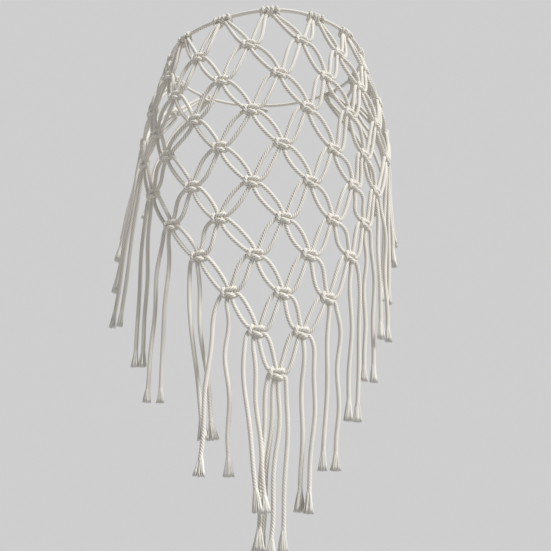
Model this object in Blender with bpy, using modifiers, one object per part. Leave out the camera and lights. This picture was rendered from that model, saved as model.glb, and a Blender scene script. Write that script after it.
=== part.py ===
"""Macrame hip sash of twisted cotton cord, in the hollow form that it has when worn.

Metres, +Z up. The origin is the middle of the waistline. The point of the net faces -Y, and
+X is on the right of a viewer who faces it. The net is drawn flat, as (along, height), where
along is measured round the form from the middle of the front, and is then laid on the form.
"""

import math
from collections import namedtuple

import bmesh
import bpy
import numpy as np
from mathutils import Vector

NAME = "macrame_sash"

# The cord, and the gaps between pieces that touch.
CORD = 0.0043
GAP = 0.0004
SIDE_GAP = 0.0003

# The form: half width and half depth of the waist and of the hips, the drop from one to the
# other, and how much wider each metre below the hips is.
WAIST_HALF_WIDTH = 0.124
WAIST_HALF_DEPTH = 0.109
HIP_HALF_WIDTH = 0.155
HIP_HALF_DEPTH = 0.137
HIP_DROP = 0.143
FLARE = 0.03
ANGLES = np.linspace(-math.pi, math.pi, 721)

# How the net is worn: the rounded front spreads the middle knots, the waist cord rises there,
# and the rows ride up where they turn towards the back.
FRONT_PUSH = 0.010
FRONT_SPREAD = 0.07
FRONT_RISE = 0.007
RISE_SPREAD = 0.074
SIDE_LIFT = 0.29
BACK_LIFT = 1.5
BACK_STARTS = 0.12
ROWS_TO_FULL_LIFT = 4

# One line for each row of knots: its drop below the waist in the middle, the distance from
# knot to knot, how far the row has slipped along the form, and how much it rises to the right.
# Row 0 is the row of heads.
Row = namedtuple("Row", "drop pitch slip tilt")
ROWS = [
    Row(drop=0.0000, pitch=0.0545, slip=-0.0175, tilt=0.058),
    Row(drop=0.0485, pitch=0.0565, slip=-0.0150, tilt=0.087),
    Row(drop=0.0905, pitch=0.0578, slip=-0.0135, tilt=0.101),
    Row(drop=0.1320, pitch=0.0592, slip=-0.0120, tilt=0.097),
    Row(drop=0.1720, pitch=0.0602, slip=-0.0115, tilt=0.069),
    Row(drop=0.2140, pitch=0.0598, slip=-0.0105, tilt=0.052),
    Row(drop=0.2545, pitch=0.0574, slip=-0.0100, tilt=0.043),
    Row(drop=0.2930, pitch=0.0533, slip=-0.0100, tilt=0.029),
    Row(drop=0.3325, pitch=0.0479, slip=-0.0115, tilt=0.009),
    Row(drop=0.3710, pitch=0.0418, slip=-0.0140, tilt=-0.006),
    Row(drop=0.4115, pitch=0.0355, slip=-0.0170, tilt=-0.021),
]
HEADS = 11

# Knots that were tied out of line, as (along, up) from their place in the row.
NUDGES = {
    (0, 0.0): (-0.004, 0.000),
    (1, -2.5): (0.008, -0.004),
    (1, 0.5): (0.001, 0.006),
    (2, -3.0): (0.008, -0.004),
    (3, 2.5): (-0.006, -0.003),
    (4, -2.0): (-0.006, 0.003),
    (4, 1.0): (0.002, -0.004),
    (4, 2.0): (-0.009, -0.006),
    (4, 3.0): (-0.011, -0.003),
    (5, 2.5): (-0.019, -0.005),
    (6, -1.0): (-0.003, 0.002),
    (6, 2.0): (-0.009, -0.002),
    (8, 1.0): (0.001, -0.004),
}

# A square knot: its outline as (across, up), clockwise from the middle of the top, how thick
# it is at its rim and in its middle, and where its thick middle starts, as a share of it.
KNOT_TOP = 0.0060
KNOT_FILLER = 0.0044
KNOT_SHOULDER = (0.0072, 0.0039)
KNOT_SIDE = 0.0090
KNOT_MIDDLE = 0.0108
KNOT_RIM = 0.0062
KNOT_CROWN = 0.55

# Each mouth of a knot: the outline points on the strand's minus and plus side, and the way
# that the strand runs there.
Mouth = namedtuple("Mouth", "minus plus way")
MOUTHS = {
    "top_left": Mouth(minus=11, plus=0, way=(0.25, -1.0)),
    "top_right": Mouth(minus=0, plus=1, way=(-0.25, -1.0)),
    "upper_left": Mouth(minus=9, plus=10, way=(1.0, -0.40)),
    "upper_right": Mouth(minus=2, plus=3, way=(-1.0, -0.40)),
    "lower_left": Mouth(minus=9, plus=8, way=(-1.0, -0.40)),
    "lower_right": Mouth(minus=4, plus=3, way=(1.0, -0.40)),
    "bottom_left": Mouth(minus=7, plus=6, way=(-0.25, -1.0)),
    "bottom_right": Mouth(minus=6, plus=5, way=(0.25, -1.0)),
}
LEAVES = ("lower_left", "bottom_left", "bottom_right", "lower_right")
STRAND_STEPS = 4
STRAND_HANDLE = 0.0105

# A head is two lark's head hitches side by side, four wraps round the waist cord: its profile
# as (along, radius), its bore, and where its four cords hang.
HEAD_WRAP = 0.00645
HEAD_END = 0.0042
HEAD_PROFILE = [
    (-0.0110, HEAD_END),
    (-0.0080, HEAD_WRAP),
    (-0.0053, 0.0052),
    (-0.00265, HEAD_WRAP),
    (0.0000, 0.0050),
    (0.00265, HEAD_WRAP),
    (0.0053, 0.0052),
    (0.0080, HEAD_WRAP),
    (0.0110, HEAD_END),
]
HEAD_BORE = 0.0029
HEAD_BORE_STOPS = (0.0110, 0.0, -0.0110)
HEAD_SIDES = 8
HEAD_OUTER_CORD = 0.0077
HEAD_INNER_CORD = 0.0031
HEAD_CORD_LEAN = 0.5

# The fringe: one line for each edge knot, from the heads down. The two cords hang this far,
# the outer one a little further, drift this far along the form and stand this far off it at
# their ends.
Fringe = namedtuple("Fringe", "length inner_drift outer_drift inner_off outer_off")
LEFT_FRINGE = [
    Fringe(length=0.180, inner_drift=-0.010, outer_drift=-0.018, inner_off=0.024, outer_off=0.030),
    Fringe(length=0.178, inner_drift=0.000, outer_drift=-0.001, inner_off=0.028, outer_off=0.030),
    Fringe(length=0.171, inner_drift=-0.010, outer_drift=-0.011, inner_off=0.025, outer_off=0.029),
    Fringe(length=0.175, inner_drift=-0.011, outer_drift=-0.015, inner_off=0.017, outer_off=0.021),
    Fringe(length=0.184, inner_drift=0.000, outer_drift=-0.004, inner_off=0.014, outer_off=0.019),
    Fringe(length=0.182, inner_drift=0.008, outer_drift=0.007, inner_off=0.004, outer_off=0.007),
    Fringe(length=0.175, inner_drift=-0.002, outer_drift=-0.010, inner_off=0.000, outer_off=0.003),
    Fringe(length=0.171, inner_drift=0.021, outer_drift=0.020, inner_off=-0.003, outer_off=-0.002),
    Fringe(length=0.164, inner_drift=0.005, outer_drift=-0.012, inner_off=0.002, outer_off=0.010),
    Fringe(length=0.156, inner_drift=0.012, outer_drift=0.013, inner_off=0.008, outer_off=0.015),
]
RIGHT_FRINGE = [
    Fringe(length=0.172, inner_drift=0.020, outer_drift=0.024, inner_off=0.016, outer_off=0.018),
    Fringe(length=0.162, inner_drift=0.007, outer_drift=0.009, inner_off=0.011, outer_off=0.015),
    Fringe(length=0.168, inner_drift=0.011, outer_drift=0.012, inner_off=0.006, outer_off=0.010),
    Fringe(length=0.156, inner_drift=0.019, outer_drift=0.020, inner_off=-0.002, outer_off=0.002),
    Fringe(length=0.164, inner_drift=-0.022, outer_drift=-0.014, inner_off=-0.008, outer_off=-0.006),
    Fringe(length=0.157, inner_drift=-0.010, outer_drift=-0.008, inner_off=0.005, outer_off=0.006),
    Fringe(length=0.158, inner_drift=-0.008, outer_drift=-0.002, inner_off=-0.003, outer_off=-0.003),
    Fringe(length=0.157, inner_drift=-0.008, outer_drift=-0.006, inner_off=-0.002, outer_off=-0.002),
    Fringe(length=0.156, inner_drift=-0.010, outer_drift=-0.005, inner_off=-0.002, outer_off=-0.002),
    Fringe(length=0.156, inner_drift=-0.005, outer_drift=-0.008, inner_off=-0.002, outer_off=0.006),
]
OUTER_LONGER = 0.0045
TIP_LENGTH = 0.153
TIP_DRIFTS = (-0.008, -0.011, -0.008, -0.004)
TIP_OFFS = (0.000, -0.007, 0.000, 0.000)

# How a fringe cord runs: the strip that it springs from, the way that the inner and the outer
# cord of an edge knot, and those of an end head, set off, and the places down it that have a
# section. Its last tenth opens into a brush.
FRINGE_ROOT = 0.0035
FRINGE_HANDLE = 0.012
FRINGE_TAIL = 0.3
INNER_WAY = (0.1, -1.0)
OUTER_WAY = (0.8, -0.7)
TIP_OUTER_WAY = (0.3, -1.0)
HEAD_FRINGE_WAY = (0.6, -1.0)
FRINGE_STOPS = (0.15, 0.5, 0.82, 0.91, 1.0)
FRAY_STARTS = 0.90
FRAY_WIDTH = 0.0085
FRAY_DEPTH = 0.0070

# The knot that closes the waist cord at the back, and the steps that the cord is drawn in.
TIE_SIZE = (0.022, 0.013, 0.014)
TIE_ROUNDING = 0.0038
WAIST_STEPS = 66
TANGENT_STEP = 0.0005

COTTON = (0.80, 0.765, 0.69)
SHADES = {"waist": 1.0, "heads": 0.98, "net": 1.0, "fringe": 1.02}
COTTON_ROUGHNESS = 0.9


def half_sizes(height):
    """Half width and half depth of the form at this height."""
    swell = math.sin(min(max(-height / HIP_DROP, 0.0), 1.0) * math.pi / 2)
    flare = FLARE * max(-height - HIP_DROP, 0.0)
    return (
        WAIST_HALF_WIDTH + (HIP_HALF_WIDTH - WAIST_HALF_WIDTH) * swell + flare,
        WAIST_HALF_DEPTH + (HIP_HALF_DEPTH - WAIST_HALF_DEPTH) * swell + flare,
    )


def run_round(half_width, half_depth):
    """The distance round an ellipse from the middle of its front, at each of ANGLES."""
    steps = np.hypot(np.diff(half_width * np.sin(ANGLES)), np.diff(half_depth * np.cos(ANGLES)))
    run = np.concatenate(([0.0], np.cumsum(steps)))
    return run - run[len(run) // 2]


def on_form(along, height, off=0.0):
    """The point of the form at this place of the flat drawing, moved outwards by off."""
    half_width, half_depth = half_sizes(height)
    angle = float(np.interp(along, run_round(half_width, half_depth), ANGLES))
    outward = Vector((math.sin(angle) / half_width, -math.cos(angle) / half_depth, 0)).normalized()
    place = Vector((half_width * math.sin(angle), -half_depth * math.cos(angle), height))
    return place + outward * off


def front_rise(along):
    """How far the waist cord rises where it crosses the rounded front."""
    return FRONT_RISE * math.exp(-((along / RISE_SPREAD) ** 2))


def waist_height(along):
    return ROWS[0].tilt * on_form(along, 0.0).x + front_rise(along)


def waist_point(along):
    return on_form(along, waist_height(along))


def half_girth():
    """Half of the way round the waist."""
    return float(run_round(WAIST_HALF_WIDTH, WAIST_HALF_DEPTH)[-1])


def indices(row):
    """The knots of a row by their distance from the middle, in steps from knot to knot."""
    count = HEADS - row
    return [number - (count - 1) / 2 for number in range(count)]


def knot_place(row, index):
    """Where a knot, or a head, is in the flat drawing."""
    drop, pitch, slip, tilt = ROWS[row]
    along = slip + pitch * index
    along += FRONT_PUSH * math.exp(-((along / FRONT_SPREAD) ** 2))
    lift = SIDE_LIFT * along**2 + BACK_LIFT * max(abs(along) - BACK_STARTS, 0.0) ** 2
    lifted = min(row / ROWS_TO_FULL_LIFT, 1.0)
    height = -drop + tilt * on_form(along, -drop).x + lift * lifted
    height += front_rise(along) * (1 - lifted)
    return np.array((along, height)) + NUDGES.get((row, index), (0.0, 0.0))


def knot_outline():
    """The twelve outline points of a square knot, clockwise from the middle of its top."""
    quarter = [(0.0, KNOT_TOP), (KNOT_FILLER, KNOT_TOP), KNOT_SHOULDER]
    right = quarter + [(KNOT_SIDE, 0.0)] + [(across, -up) for across, up in reversed(quarter)]
    left = [(-across, up) for across, up in reversed(right[1:-1])]
    return [np.array(point) for point in right + left]


OUTLINE = knot_outline()


def unit(way):
    return np.array(way) / math.hypot(*way)


def sideways(way):
    """Square to a way, towards the strand's plus side."""
    return np.array((-way[1], way[0])) / math.hypot(*way)


def bend(start, start_handle, end, end_handle, t):
    """A point and the way along a cubic curve."""
    after, before = start + start_handle, end - end_handle
    back = 1 - t
    point = back**3 * start + 3 * t * back**2 * after + 3 * t**2 * back * before + t**3 * end
    way = back**2 * (after - start) + 2 * t * back * (before - after) + t**2 * (end - before)
    return point, way


def add_object(name, data, material):
    made = bpy.data.objects.new(name, data)
    bpy.data.collections[NAME].objects.link(made)
    made.data.materials.append(material)
    return made


def add_smooth_mesh(name, bm, material):
    """A mesh object from a bmesh, shaded smooth, with its faces turned one way."""
    bmesh.ops.recalc_face_normals(bm, faces=bm.faces)
    mesh = bpy.data.meshes.new(name)
    bm.to_mesh(mesh)
    bm.free()
    mesh.shade_smooth()
    return add_object(name, mesh, material)


def cotton(name):
    """Natural cotton cord, a little lighter or darker from piece to piece."""
    made = bpy.data.materials.new(f"{name} cotton")
    made.use_nodes = True
    surface = made.node_tree.nodes["Principled BSDF"]
    colour = [channel * SHADES[name] for channel in COTTON]
    surface.inputs["Base Color"].default_value = (*colour, 1.0)
    surface.inputs["Roughness"].default_value = COTTON_ROUGHNESS
    surface.inputs["Metallic"].default_value = 0.0
    return made


class Patch:
    """An open surface of strands and knots on the form, which Solidify makes into cord."""

    def __init__(self):
        self.mesh = bmesh.new()
        self.weights = self.mesh.verts.layers.deform.verify()

    def point(self, place, thickness, off=0.0):
        vertex = self.mesh.verts.new(on_form(place[0], place[1], off))
        vertex[self.weights][0] = thickness / KNOT_MIDDLE
        return vertex

    def face(self, *corners):
        self.mesh.faces.new(corners)

    def knot(self, place):
        """A square knot: a crowned plate. Returns its twelve outline vertices."""
        rim = [self.point(place + point, KNOT_RIM) for point in OUTLINE]
        corners = range(0, len(OUTLINE), 2)
        crown = {n: self.point(place + OUTLINE[n] * KNOT_CROWN, KNOT_MIDDLE) for n in corners}
        for n in corners:
            after = (n + 2) % len(OUTLINE)
            self.face(rim[n], crown[n], rim[n + 1])
            self.face(rim[n + 1], crown[n], crown[after], rim[after])
        self.face(*[crown[n] for n in reversed(corners)])
        return rim

    def strand(self, first, last, start, start_way, end, end_way):
        """A ribbon between two pairs of vertices, each pair (minus side, plus side)."""
        minus, plus = first
        handles = unit(start_way) * STRAND_HANDLE, unit(end_way) * STRAND_HANDLE
        for step in range(1, STRAND_STEPS):
            middle, way = bend(start, handles[0], end, handles[1], step / STRAND_STEPS)
            side = sideways(way) * CORD / 2
            next_minus, next_plus = self.point(middle - side, CORD), self.point(middle + side, CORD)
            self.face(minus, next_minus, next_plus, plus)
            minus, plus = next_minus, next_plus
        self.face(minus, last[0], last[1], plus)

    def object(self, name, material):
        """The finished piece, as thick at each point as its weight says."""
        made = add_smooth_mesh(name, self.mesh, material)
        group = made.vertex_groups.new(name="thickness")
        solidify = made.modifiers.new("cord thickness", "SOLIDIFY")
        solidify.thickness = KNOT_MIDDLE
        solidify.offset = 0.0
        solidify.vertex_group = group.name
        solidify.thickness_vertex_group = 0.0
        return made


def mouth_middle(mouth):
    return (OUTLINE[mouth.minus] + OUTLINE[mouth.plus]) / 2


def clear_mouth(knot, mouth):
    """The two places of a strand end that stops just clear of a knot of the other half."""
    minus, plus = OUTLINE[mouth.minus], OUTLINE[mouth.plus]
    away = sideways(plus - minus)
    if away @ (minus + plus) < 0:
        away = -away
    inset = unit(plus - minus) * SIDE_GAP
    return knot + minus + away * GAP + inset, knot + plus + away * GAP - inset


def head_cord(index, across):
    """Where a cord leaves the head with this index, this far across from its middle."""
    along = knot_place(0, index)[0] + across
    return np.array((along, waist_height(along) - HEAD_WRAP - GAP))


def strand_start(row, index, leave):
    """Where a strand leaves a knot by this mouth, or the head above, and its way there."""
    if row > 0:
        return knot_place(row, index) + mouth_middle(MOUTHS[leave]), MOUTHS[leave].way
    side = -1 if leave.endswith("left") else 1
    across = HEAD_OUTER_CORD if leave.startswith("lower") else HEAD_INNER_CORD
    return head_cord(index, side * across), (side * HEAD_CORD_LEAN, -1.0)


def strand_goal(row, index, leave):
    """The knot that a strand runs down to, and the mouth that it enters: a strand from a
    knot's side enters the next knot's top, and one from its bottom the next knot's side."""
    side, across = (-0.5, "right") if leave.endswith("left") else (0.5, "left")
    mouth = ("top_" if leave.startswith("lower") else "upper_") + across
    return (row + 1, index + side), mouth


def build_net(name, left, material):
    """One half of the net. The knots of the middle column belong to the left half, and each
    strand that has a right-hand knot at either end belongs to the right half."""
    patch = Patch()
    rims = {}
    for row in range(1, HEADS):
        for index in indices(row):
            if (index <= 0) == left:
                rims[row, index] = patch.knot(knot_place(row, index))

    def end_pair(knot, mouth):
        if knot in rims:
            return rims[knot][mouth.minus], rims[knot][mouth.plus]
        return tuple(patch.point(place, CORD) for place in clear_mouth(knot_place(*knot), mouth))

    for row in range(HEADS - 1):
        for index in indices(row):
            for leave in LEAVES:
                below, enter = strand_goal(row, index, leave)
                strand_is_left = max(index, below[1]) <= 0
                if below[1] not in indices(row + 1) or strand_is_left != left:
                    continue
                start, start_way = strand_start(row, index, leave)
                if row == 0:
                    half = np.array((CORD / 2, 0.0))
                    first = patch.point(start - half, CORD), patch.point(start + half, CORD)
                else:
                    first = end_pair((row, index), MOUTHS[leave])
                end = knot_place(*below) + mouth_middle(MOUTHS[enter])
                last = end_pair(below, MOUTHS[enter])
                patch.strand(first, last, start, start_way, end, MOUTHS[enter].way)
    return patch.object(name, material)


# A cord of the fringe: the points of its strip on its minus and plus side, the way that it
# sets off, how far it hangs and drifts, and how far it stands off the form at its end.
Hanging = namedtuple("Hanging", "minus plus way length drift off")


def hang(start, cord, t):
    """A point of a hanging cord and its way there, t of its length down."""
    fall = np.array((cord.drift, -cord.length))
    return bend(start, unit(cord.way) * FRINGE_HANDLE, start + fall, fall * FRINGE_TAIL, t)


def cord_section(t):
    """Width and depth of a hanging cord, t of its length down."""
    opened = max(t - FRAY_STARTS, 0.0) / (1 - FRAY_STARTS)
    return CORD + (FRAY_WIDTH - CORD) * opened, CORD + (FRAY_DEPTH - CORD) * opened


def build_tuft(name, root, cords, material):
    """Fringe cords that hang from one narrow strip, whose upper edge is root."""
    patch = Patch()
    ways = [np.array((0.0, -1.0))] * len(root)
    for cord in cords:
        ways[cord.minus] = ways[cord.plus] = unit(cord.way)
    lower_places = [place + way * FRINGE_ROOT for place, way in zip(root, ways)]
    upper = [patch.point(place, CORD) for place in root]
    lower = [patch.point(place, CORD) for place in lower_places]
    for n in range(len(root) - 1):
        patch.face(upper[n], upper[n + 1], lower[n + 1], lower[n])
    for cord in cords:
        minus, plus = lower[cord.minus], lower[cord.plus]
        start = (lower_places[cord.minus] + lower_places[cord.plus]) / 2
        for t in FRINGE_STOPS:
            middle, way = hang(start, cord, t)
            width, depth = cord_section(t)
            side = sideways(way) * width / 2
            next_minus = patch.point(middle - side, depth, cord.off * t)
            next_plus = patch.point(middle + side, depth, cord.off * t)
            patch.face(minus, next_minus, next_plus, plus)
            minus, plus = next_minus, next_plus
    return patch.object(name, material)


def edge_tuft(name, row, side, fringe, material):
    """The two free cords of the knot, or head, at one end of a row."""
    index = side * indices(row)[-1]
    if row == 0:
        halves = (-CORD / 2, CORD / 2)
        edges = [cord + half for cord in (HEAD_INNER_CORD, HEAD_OUTER_CORD) for half in halves]
        root = [head_cord(index, place) for place in sorted(side * edge for edge in edges)]
        inner_lean = outer_lean = HEAD_FRINGE_WAY
    else:
        numbers = (9, 8, 7, 6) if side < 0 else (6, 5, 4, 3)
        clear = np.array((side * SIDE_GAP, -GAP))
        root = [knot_place(row, index) + OUTLINE[n] + clear for n in numbers]
        inner_lean, outer_lean = INNER_WAY, OUTER_WAY
    outer_pair, inner_pair = ((0, 1), (2, 3)) if side < 0 else ((2, 3), (0, 1))
    outer_way, inner_way = ((side * lean[0], lean[1]) for lean in (outer_lean, inner_lean))
    outer_length = fringe.length + OUTER_LONGER
    cords = [
        Hanging(*outer_pair, outer_way, outer_length, fringe.outer_drift, fringe.outer_off),
        Hanging(*inner_pair, inner_way, fringe.length, fringe.inner_drift, fringe.inner_off),
    ]
    return build_tuft(name, root, cords, material)


def tip_tuft(name, material):
    """The four free cords of the last knot."""
    knot = knot_place(HEADS - 1, 0)
    numbers = range(9, 2, -1)
    sides = (-1, -1, -1, 0, 1, 1, 1)
    clear = [np.array((side * SIDE_GAP, -GAP)) for side in sides]
    root = [knot + OUTLINE[n] + shift for n, shift in zip(numbers, clear)]
    pairs = ((0, 1), (2, 3), (3, 4), (5, 6))
    leans = ((-1, TIP_OUTER_WAY), (-1, INNER_WAY), (1, INNER_WAY), (1, TIP_OUTER_WAY))
    ways = [(side * lean[0], lean[1]) for side, lean in leans]
    cords = [
        Hanging(*pair, way, TIP_LENGTH, drift, off)
        for pair, way, drift, off in zip(pairs, ways, TIP_DRIFTS, TIP_OFFS)
    ]
    return build_tuft(name, root, cords, material)


def cord_ring(bm, along, radius):
    """A ring of points round the waist cord."""
    here = waist_point(along)
    run = (waist_point(along + TANGENT_STEP) - waist_point(along - TANGENT_STEP)).normalized()
    outward = (on_form(along, here.z, 1.0) - here).normalized()
    up = outward.cross(run).normalized()
    outward = run.cross(up).normalized()
    turns = [2 * math.pi * n / HEAD_SIDES for n in range(HEAD_SIDES)]
    return [bm.verts.new(here + (outward * math.cos(a) + up * math.sin(a)) * radius) for a in turns]


def build_head(name, index, material):
    """The wraps of one head, lofted along the bend of the waist cord, with its bore."""
    middle = knot_place(0, index)[0]
    sections = HEAD_PROFILE + [(stop, HEAD_BORE) for stop in HEAD_BORE_STOPS]
    bm = bmesh.new()
    rings = [cord_ring(bm, middle + stop, radius) for stop, radius in sections]
    for one, two in zip(rings, rings[1:] + rings[:1]):
        for k in range(HEAD_SIDES):
            after = (k + 1) % HEAD_SIDES
            bm.faces.new((one[k], two[k], two[after], one[after]))
    return add_smooth_mesh(name, bm, material)


def build_waist_cord(name, material):
    """One cord round the waist, from one side of the tie at the back to the other."""
    end = half_girth() - TIE_SIZE[0] / 2 - 2 * GAP
    curve = bpy.data.curves.new(name, "CURVE")
    curve.dimensions = "3D"
    curve.bevel_depth = CORD / 2
    curve.bevel_resolution = 2
    curve.use_fill_caps = True
    spline = curve.splines.new("POLY")
    spline.points.add(WAIST_STEPS)
    for n, point in enumerate(spline.points):
        point.co = (*waist_point(-end + 2 * end * n / WAIST_STEPS), 1.0)
    return add_object(name, curve, material)


def build_tie(name, material):
    """The plain knot that closes the waist cord at the middle of the back."""
    bm = bmesh.new()
    bmesh.ops.create_cube(bm, size=1.0)
    bmesh.ops.scale(bm, vec=TIE_SIZE, verts=bm.verts)
    made = add_smooth_mesh(name, bm, material)
    made.location = waist_point(half_girth())
    bevel = made.modifiers.new("rounded knot", "BEVEL")
    bevel.width = TIE_ROUNDING
    bevel.segments = 2
    return made


def main():
    for old in list(bpy.data.objects):
        bpy.data.objects.remove(old)
    bpy.context.scene.collection.children.link(bpy.data.collections.new(NAME))
    cottons = {piece: cotton(piece) for piece in SHADES}
    build_waist_cord("waist_cord", cottons["waist"])
    build_tie("back_tie", cottons["waist"])
    for number, index in enumerate(indices(0), 1):
        build_head(f"head_{number:02d}", index, cottons["heads"])
    build_net("net_left", True, cottons["net"])
    build_net("net_right", False, cottons["net"])
    for row in range(HEADS - 1):
        edge_tuft(f"fringe_left_{row + 1:02d}", row, -1, LEFT_FRINGE[row], cottons["fringe"])
        edge_tuft(f"fringe_right_{row + 1:02d}", row, 1, RIGHT_FRINGE[row], cottons["fringe"])
    tip_tuft("fringe_tip", cottons["fringe"])


main()
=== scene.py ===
"""Macrame hip sash of twisted cotton cord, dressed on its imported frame.

Every cord is modelled from end to end, as it is tied: 22 cords folded in half over the waist
cord, hitched there, knotted down the net and left to hang with frayed ends. The net is drawn
flat, as (along, height) round the form that the sash has when worn, and then laid on it.
"""

import math
from collections import namedtuple

import bpy
import numpy as np
from mathutils import Matrix, Vector


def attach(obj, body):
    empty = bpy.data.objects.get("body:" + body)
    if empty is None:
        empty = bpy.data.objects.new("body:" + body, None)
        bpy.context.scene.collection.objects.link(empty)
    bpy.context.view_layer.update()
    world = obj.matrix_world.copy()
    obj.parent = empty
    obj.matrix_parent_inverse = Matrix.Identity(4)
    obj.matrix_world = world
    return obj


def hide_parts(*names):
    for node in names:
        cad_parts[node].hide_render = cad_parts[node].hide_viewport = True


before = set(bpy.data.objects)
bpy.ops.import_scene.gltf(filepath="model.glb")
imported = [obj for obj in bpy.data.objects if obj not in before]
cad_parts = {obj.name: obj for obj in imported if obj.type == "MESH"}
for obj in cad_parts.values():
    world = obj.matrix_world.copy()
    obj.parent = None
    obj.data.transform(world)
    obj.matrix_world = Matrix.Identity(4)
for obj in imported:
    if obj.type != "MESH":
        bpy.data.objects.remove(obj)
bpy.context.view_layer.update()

# The cord, in metres: its thickness, how far one turn of its plies runs, and its rings for each
# turn. The grooves between the plies are this share of its radius deep, and its shoulders stand
# this much fuller than its radius, so that the plies look round.
CORD = 0.0043
PLIES = 4
LAY = 0.0120
RINGS_A_TURN = 11
RING_SPACING = LAY / RINGS_A_TURN
GROOVE_DEPTH = 0.24
FULLNESS = 1.04
# A ply in the cord's outline: how far along the ply each point is, and how deep in the groove, which
# also sets how much painted groove shade it takes.
PLY_OUTLINE = ((0.0, 1.0), (1 / 3, 0.0), (2 / 3, 0.0))

# The form that the sash is worn in, in metres: an ellipse at the waist that swells to another
# at the hips, this far below, and flares a little from there.
WAIST_HALF_WIDTH = 0.124
WAIST_HALF_DEPTH = 0.109
HIP_HALF_WIDTH = 0.155
HIP_HALF_DEPTH = 0.137
HIP_DROP = 0.143
FLARE = 0.03
ANGLES = np.linspace(-math.pi, math.pi, 721)

# How the rows lie on it. The knots in front are pushed along by this much. The waist cord rises
# in front. A row lifts towards the sides and more towards the back, and from the fourth row
# down it does so in full.
FRONT_PUSH = 0.010
FRONT_SPREAD = 0.07
FRONT_RISE = 0.007
RISE_SPREAD = 0.074
SIDE_LIFT = 0.29
BACK_LIFT = 1.5
BACK_STARTS = 0.12
ROWS_TO_FULL_LIFT = 4

# One line for each row of knots: its drop below the waist in the middle, the distance from
# knot to knot, how far the row has slipped along the form, and how much it rises to the right.
# Row 0 is the row of heads.
Row = namedtuple("Row", "drop pitch slip tilt")
ROWS = [
    Row(drop=0.0000, pitch=0.0545, slip=-0.0175, tilt=0.058),
    Row(drop=0.0485, pitch=0.0565, slip=-0.0150, tilt=0.087),
    Row(drop=0.0905, pitch=0.0578, slip=-0.0135, tilt=0.101),
    Row(drop=0.1320, pitch=0.0592, slip=-0.0120, tilt=0.097),
    Row(drop=0.1720, pitch=0.0602, slip=-0.0115, tilt=0.069),
    Row(drop=0.2140, pitch=0.0598, slip=-0.0105, tilt=0.052),
    Row(drop=0.2545, pitch=0.0574, slip=-0.0100, tilt=0.043),
    Row(drop=0.2930, pitch=0.0533, slip=-0.0100, tilt=0.029),
    Row(drop=0.3325, pitch=0.0479, slip=-0.0115, tilt=0.009),
    Row(drop=0.3710, pitch=0.0418, slip=-0.0140, tilt=-0.006),
    Row(drop=0.4115, pitch=0.0355, slip=-0.0170, tilt=-0.021),
]
HEADS = 11

# Knots that were tied out of line, as (along, up) from their place in the row.
NUDGES = {
    (0, 0.0): (-0.004, 0.000),
    (1, -2.5): (0.008, -0.004),
    (1, 0.5): (0.001, 0.006),
    (2, -3.0): (0.008, -0.004),
    (3, 2.5): (-0.006, -0.003),
    (4, -2.0): (-0.006, 0.003),
    (4, 1.0): (0.002, -0.004),
    (4, 2.0): (-0.009, -0.006),
    (4, 3.0): (-0.011, -0.003),
    (5, 2.5): (-0.019, -0.005),
    (6, -1.0): (-0.003, 0.002),
    (6, 2.0): (-0.009, -0.002),
    (8, 1.0): (0.001, -0.004),
}

# The mouths of a square knot: where a strand enters or leaves it, and the way that it runs.
Mouth = namedtuple("Mouth", "across up way")
MOUTHS = {
    "top_left": Mouth(across=-0.0022, up=0.0060, way=(0.30, -1.0)),
    "top_right": Mouth(across=0.0022, up=0.0060, way=(-0.35, -1.0)),
    "upper_left": Mouth(across=-0.0081, up=0.00195, way=(1.0, -0.70)),
    "upper_right": Mouth(across=0.0081, up=0.00195, way=(-1.0, -0.65)),
    "lower_left": Mouth(across=-0.0081, up=-0.00195, way=(-1.0, -0.60)),
    "lower_right": Mouth(across=0.0081, up=-0.00195, way=(1.0, -0.62)),
    "bottom_left": Mouth(across=-0.0022, up=-0.0060, way=(-0.50, -1.0)),
    "bottom_right": Mouth(across=0.0022, up=-0.0060, way=(0.20, -1.0)),
}
THROUGH = {
    "top_left": "bottom_left",
    "top_right": "bottom_right",
    "upper_left": "lower_left",
    "upper_right": "lower_right",
}

# How far a strand keeps the way of its mouths before it turns, in metres. Below the heads, the
# strands that leave to the right keep it a little further. Where knots stand closer than this
# pitch, every strand keeps it less far.
STRAND_HANDLE = 0.0105
SLACK_HANDLE = 0.0108
FULL_PITCH = 0.055
# The net is stretched outwards and down: on each side the strands that run down towards the
# middle are tauter, and those that run down and out are slacker.
SLACK_FALLS = 3.0
LEAST_SLACK = 0.5
MOST_SLACK = 1.3
STRAND_STEPS = 24

# How much the legs of a head lean outwards as they leave it.
HEAD_CORD_LEAN = 0.5

# The fringe, a line for each row from the heads down: how far its inner and outer cord hang,
# how far they drift sideways, and how far their ends stand off the form, in metres.
Fringe = namedtuple("Fringe", "length inner_drift outer_drift inner_off outer_off")
LEFT_FRINGE = [
    Fringe(length=0.180, inner_drift=-0.010, outer_drift=-0.018, inner_off=0.024, outer_off=0.030),
    Fringe(length=0.178, inner_drift=0.000, outer_drift=-0.001, inner_off=0.028, outer_off=0.030),
    Fringe(length=0.171, inner_drift=-0.010, outer_drift=-0.011, inner_off=0.025, outer_off=0.029),
    Fringe(length=0.175, inner_drift=-0.011, outer_drift=-0.015, inner_off=0.017, outer_off=0.021),
    Fringe(length=0.184, inner_drift=0.000, outer_drift=-0.004, inner_off=0.014, outer_off=0.019),
    Fringe(length=0.182, inner_drift=0.008, outer_drift=0.007, inner_off=0.004, outer_off=0.007),
    Fringe(length=0.175, inner_drift=-0.002, outer_drift=-0.010, inner_off=0.000, outer_off=0.003),
    Fringe(length=0.171, inner_drift=0.021, outer_drift=0.020, inner_off=-0.003, outer_off=-0.002),
    Fringe(length=0.164, inner_drift=0.005, outer_drift=-0.012, inner_off=0.002, outer_off=0.010),
    Fringe(length=0.156, inner_drift=0.012, outer_drift=0.013, inner_off=0.008, outer_off=0.015),
]
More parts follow.
